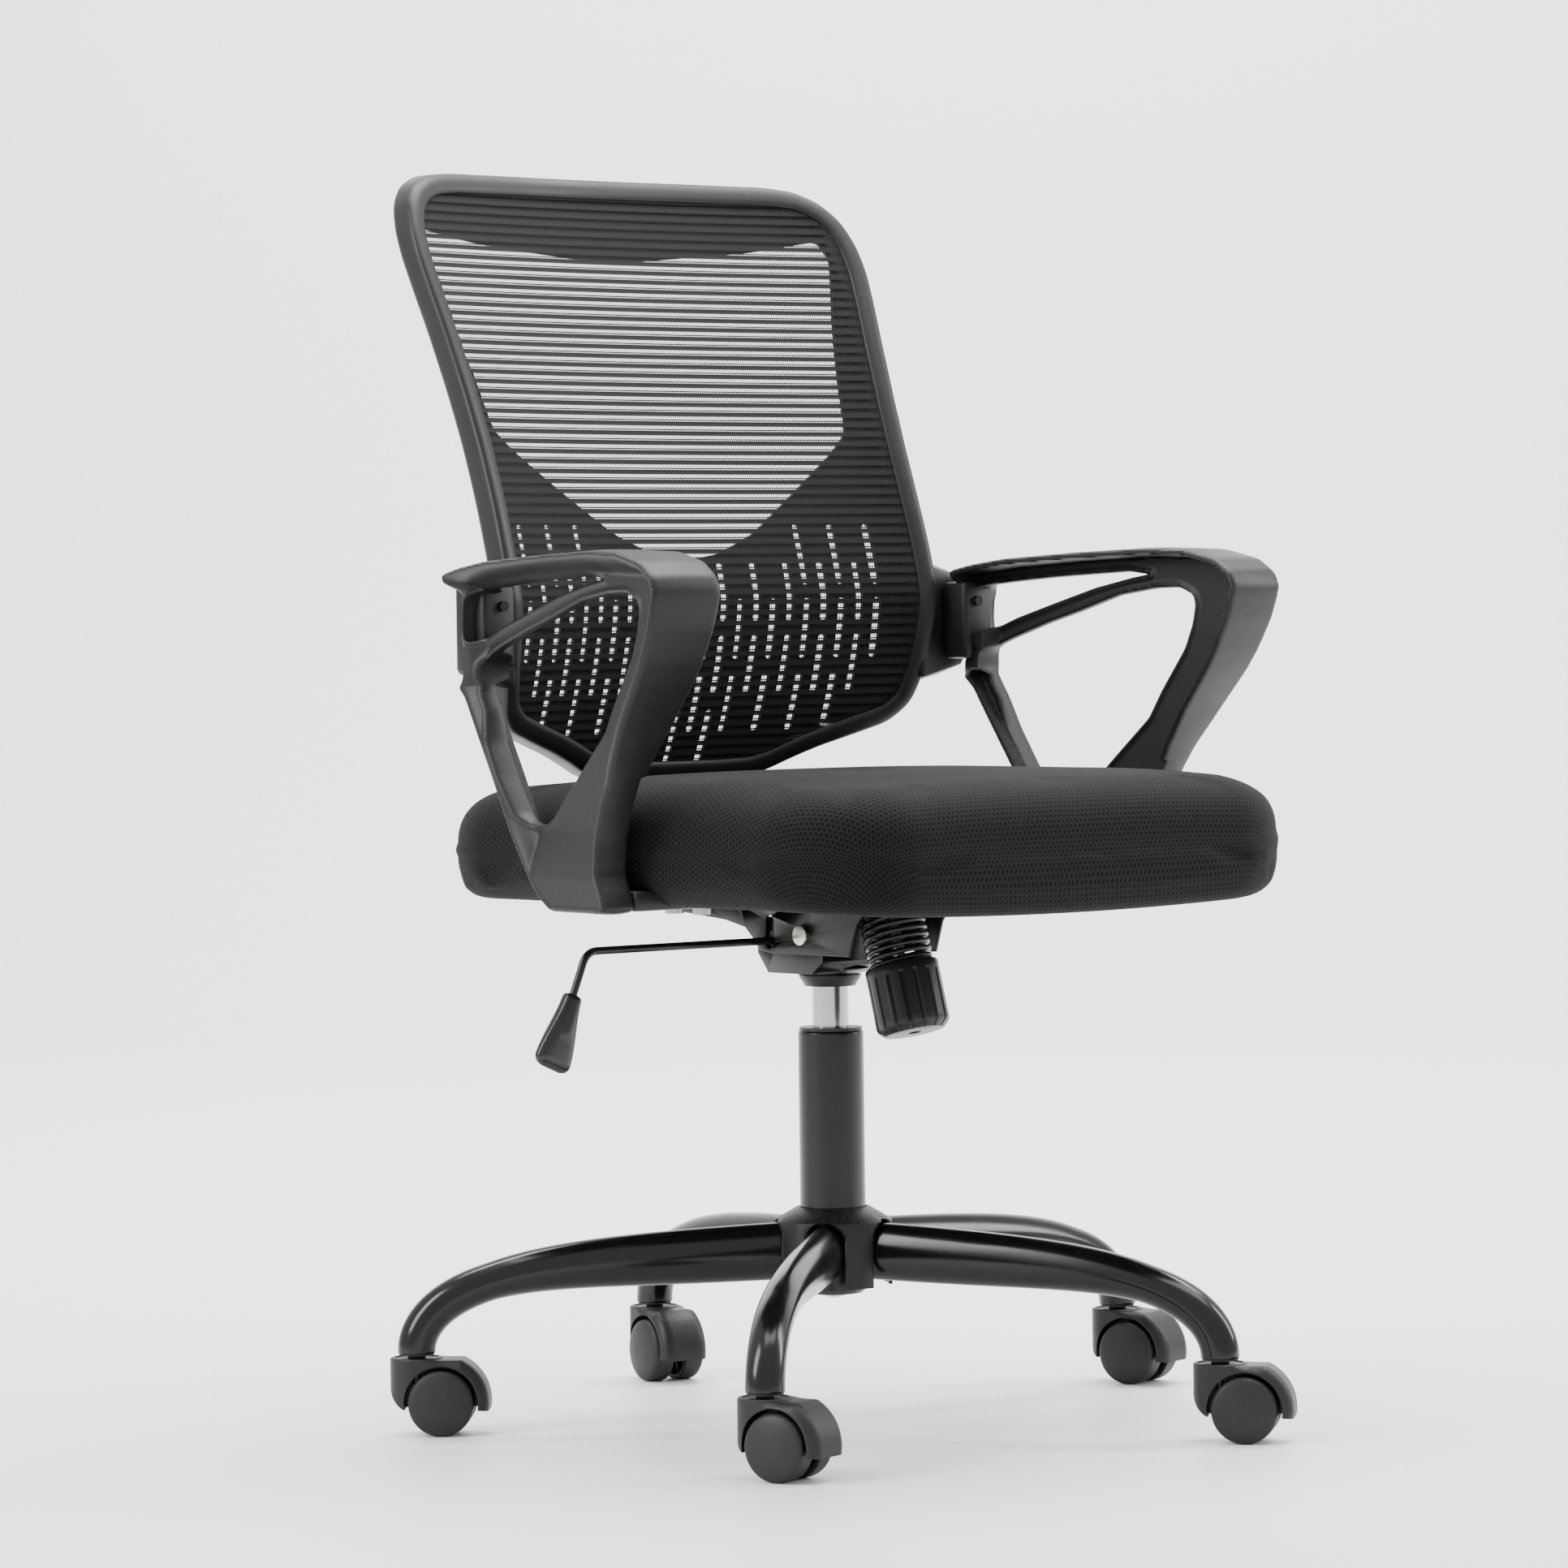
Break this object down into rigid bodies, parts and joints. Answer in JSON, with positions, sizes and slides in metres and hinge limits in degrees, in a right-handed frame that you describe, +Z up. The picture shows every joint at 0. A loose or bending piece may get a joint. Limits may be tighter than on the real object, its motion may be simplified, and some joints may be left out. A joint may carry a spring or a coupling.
{
  "type": "swivel office chair",
  "caption": "Swivel office chair with a mesh back, loop armrests, padded seat, tilt mechanism, gas column and caster base.",
  "frame": {"origin": "on the floor, on the axis of the gas column", "axes": "+Z up along the column axis, -Y towards the front of the seat, +X across the chair"},
  "size_m": [0.668, 0.6814, 0.9647],
  "materials": {
    "gloss_black_steel": "gloss black powder coat",
    "hub_steel": "satin black paint",
    "hub_plastic": "fine-grained black moulding",
    "socket_plastic": "black nylon",
    "column_steel": "satin black powder coat",
    "sleeve_plastic": "black acetal",
    "bearing_steel": "ground, oiled",
    "rod_chrome": "hard chrome",
    "clip_steel": "spring steel",
    "cylinder_steel": "drawn steel, satin",
    "seal_rubber": "nitrile",
    "button_steel": "turned",
    "collar_plastic": "black nylon",
    "housing_steel": "gloss black enamel",
    "bracket_steel": "semi-matte black paint",
    "zinc_steel": "bright zinc",
    "bolt_steel": "plain zinc",
    "spring_steel": "black oiled",
    "washer_steel": "black oxide",
    "knob_plastic": "satin black moulding",
    "bush_plastic": "black acetal",
    "lever_steel": "semi-gloss black",
    "grip_plastic": "gloss black moulding",
    "tongue_steel": "zinc",
    "plywood": "plain birch ply",
    "seat_fabric": "black spacer mesh over foam",
    "underside_cloth": "grey-black non-woven",
    "dark_bolts": "black zinc",
    "arm_plastic": "charcoal grained moulding",
    "frame_plastic": "black grained moulding",
    "panel_plastic": "black grained moulding",
    "back_mesh": "ribbed open knit",
    "caster_plastic": "fine-grained black nylon",
    "stem_steel": "black zinc",
    "axle_steel": "bright zinc",
    "wheel_plastic": "fine-grained black nylon"
  },
  "bodies": {
    "base": {"base_legs": "gloss_black_steel", "hub_tube": "hub_steel", "hub_cover": "hub_plastic", "caster_sockets": "socket_plastic", "column_outer_tube": "column_steel", "column_guide_sleeve": "sleeve_plastic", "thrust_bearing": "bearing_steel"},
    "piston": {"piston_rod": "rod_chrome", "retaining_clip": "clip_steel"},
    "column_top": {"pressure_cylinder": "cylinder_steel", "rod_guide_seal": "seal_rubber", "column_collar": "collar_plastic", "tilt_housing": "housing_steel", "tension_spring": "spring_steel"},
    "valve": {"valve_button": "button_steel"},
    "lever_pivot": {"lever_bush": "bush_plastic"},
    "lever": {"lever_rod": "lever_steel", "lever_grip": "grip_plastic", "release_tongue": "tongue_steel"},
    "seat": {"seat_bracket": "bracket_steel", "pivot_bolt": "zinc_steel", "tension_bolt": "bolt_steel", "seat_board": "plywood", "seat_cushion": "seat_fabric", "seat_underside": "underside_cloth", "bolts_into_board": "dark_bolts", "armrest_left": "arm_plastic", "armrest_right": "arm_plastic", "bolts_into_arms": "dark_bolts", "back_frame": "frame_plastic", "back_panel": "panel_plastic", "back_mesh": "back_mesh"},
    "tension_slide": {"spring_washer": "washer_steel"},
    "tension_knob": {"tension_knob": "knob_plastic"},
    "caster_front_left": {"caster_hood_front_left": "caster_plastic", "caster_stem_front_left": "stem_steel", "caster_axle_front_left": "axle_steel"},
    "wheel_a_front_left": {"wheel_a_front_left": "wheel_plastic"},
    "wheel_b_front_left": {"wheel_b_front_left": "wheel_plastic"},
    "caster_front_right": {"caster_hood_front_right": "caster_plastic", "caster_stem_front_right": "stem_steel", "caster_axle_front_right": "axle_steel"},
    "wheel_a_front_right": {"wheel_a_front_right": "wheel_plastic"},
    "wheel_b_front_right": {"wheel_b_front_right": "wheel_plastic"},
    "caster_right": {"caster_hood_right": "caster_plastic", "caster_stem_right": "stem_steel", "caster_axle_right": "axle_steel"},
    "wheel_a_right": {"wheel_a_right": "wheel_plastic"},
    "wheel_b_right": {"wheel_b_right": "wheel_plastic"},
    "caster_rear": {"caster_hood_rear": "caster_plastic", "caster_stem_rear": "stem_steel", "caster_axle_rear": "axle_steel"},
    "wheel_a_rear": {"wheel_a_rear": "wheel_plastic"},
    "wheel_b_rear": {"wheel_b_rear": "wheel_plastic"},
    "caster_left": {"caster_hood_left": "caster_plastic", "caster_stem_left": "stem_steel", "caster_axle_left": "axle_steel"},
    "wheel_a_left": {"wheel_a_left": "wheel_plastic"},
    "wheel_b_left": {"wheel_b_left": "wheel_plastic"}
  },
  "joints": [
    {"name": "seat_swivel", "type": "hinge", "parent": "base", "child": "piston", "pos_m": [0, 0, 0.1017], "axis": [0, 0, 1], "continuous": true},
    {"name": "seat_height", "type": "slide", "parent": "piston", "child": "column_top", "axis": [0, 0, 1], "range_m": [-0.025, 0.075]},
    {"name": "valve_press", "type": "slide", "parent": "column_top", "child": "valve", "axis": [0, 0, 1], "range_m": [-0.004, 0], "stiffness_N_per_m": 600},
    {"name": "lever_lift", "type": "hinge", "parent": "column_top", "child": "lever_pivot", "pos_m": [-0.04025, 0.018, 0.3692], "axis": [0, 1, 0], "range_deg": [0, 5], "stiffness_Nm_per_rad": 4, "springref_deg": -6.88},
    {"name": "lever_pull", "type": "slide", "parent": "lever_pivot", "child": "lever", "axis": [-1, 0, 0], "range_m": [0, 0.01]},
    {"name": "seat_tilt", "type": "hinge", "parent": "column_top", "child": "seat", "pos_m": [0, -0.021, 0.3747], "axis": [-1, 0, 0], "range_deg": [0, 12], "stiffness_Nm_per_rad": 220, "springref_deg": -6.88, "deforming": ["tension_spring"]},
    {"name": "tension_travel", "type": "slide", "parent": "seat", "child": "tension_slide", "axis": [0, -0.2756, -0.9613], "range_m": [0, 0.003]},
    {"name": "tension_turn", "type": "hinge", "parent": "tension_slide", "child": "tension_knob", "pos_m": [0, -0.082, 0.3517], "axis": [0, 0.2756, 0.9613], "range_deg": [0, 720]},
    {"name": "swivel_front_left", "type": "hinge", "parent": "base", "child": "caster_front_left", "pos_m": [-0.24626, -0.20591, 0.0627], "axis": [0, 0, 1], "continuous": true},
    {"name": "roll_a_front_left", "type": "hinge", "parent": "caster_front_left", "child": "wheel_a_front_left", "pos_m": [-0.24088, -0.22465, 0.025], "axis": [0.9613, 0.2756, 0], "continuous": true},
    {"name": "roll_b_front_left", "type": "hinge", "parent": "caster_front_left", "child": "wheel_b_front_left", "pos_m": [-0.24088, -0.22465, 0.025], "axis": [0.9613, 0.2756, 0], "continuous": true},
    {"name": "swivel_front_right", "type": "hinge", "parent": "base", "child": "caster_front_right", "pos_m": [0.11973, -0.29784, 0.0627], "axis": [0, 0, 1], "continuous": true},
    {"name": "roll_a_front_right", "type": "hinge", "parent": "caster_front_right", "child": "wheel_a_front_right", "pos_m": [0.132, -0.31299, 0.025], "axis": [0.7771, 0.6293, 0], "continuous": true},
    {"name": "roll_b_front_right", "type": "hinge", "parent": "caster_front_right", "child": "wheel_b_front_right", "pos_m": [0.132, -0.31299, 0.025], "axis": [0.7771, 0.6293, 0], "continuous": true},
    {"name": "swivel_right", "type": "hinge", "parent": "base", "child": "caster_right", "pos_m": [0.32026, 0.02183, 0.0627], "axis": [0, 0, 1], "continuous": true},
    {"name": "roll_a_right", "type": "hinge", "parent": "caster_right", "child": "wheel_a_right", "pos_m": [0.3253, 0.003, 0.025], "axis": [0.9659, 0.2588, 0], "continuous": true},
    {"name": "roll_b_right", "type": "hinge", "parent": "caster_right", "child": "wheel_b_right", "pos_m": [0.3253, 0.003, 0.025], "axis": [0.9659, 0.2588, 0], "continuous": true},
    {"name": "swivel_rear", "type": "hinge", "parent": "base", "child": "caster_rear", "pos_m": [0.0782, 0.31133, 0.0627], "axis": [0, 0, 1], "continuous": true},
    {"name": "roll_a_rear", "type": "hinge", "parent": "caster_rear", "child": "wheel_a_rear", "pos_m": [0.07415, 0.29225, 0.025], "axis": [0.9781, -0.2079, 0], "continuous": true},
    {"name": "roll_b_rear", "type": "hinge", "parent": "caster_rear", "child": "wheel_b_rear", "pos_m": [0.07415, 0.29225, 0.025], "axis": [0.9781, -0.2079, 0], "continuous": true},
    {"name": "swivel_left", "type": "hinge", "parent": "base", "child": "caster_left", "pos_m": [-0.27193, 0.17058, 0.0627], "axis": [0, 0, 1], "continuous": true},
    {"name": "roll_a_left", "type": "hinge", "parent": "caster_left", "child": "wheel_a_left", "pos_m": [-0.25766, 0.15728, 0.025], "axis": [0.682, 0.7314, 0], "continuous": true},
    {"name": "roll_b_left", "type": "hinge", "parent": "caster_left", "child": "wheel_b_left", "pos_m": [-0.25766, 0.15728, 0.025], "axis": [0.682, 0.7314, 0], "continuous": true}
  ],
  "couplings": [
    {"joint": "tension_travel", "follows": "tension_turn", "m_per_rad": 0.00023873},
    {"joint": "valve_press", "follows": "lever_lift", "m_per_rad": -0.043545}
  ]
}
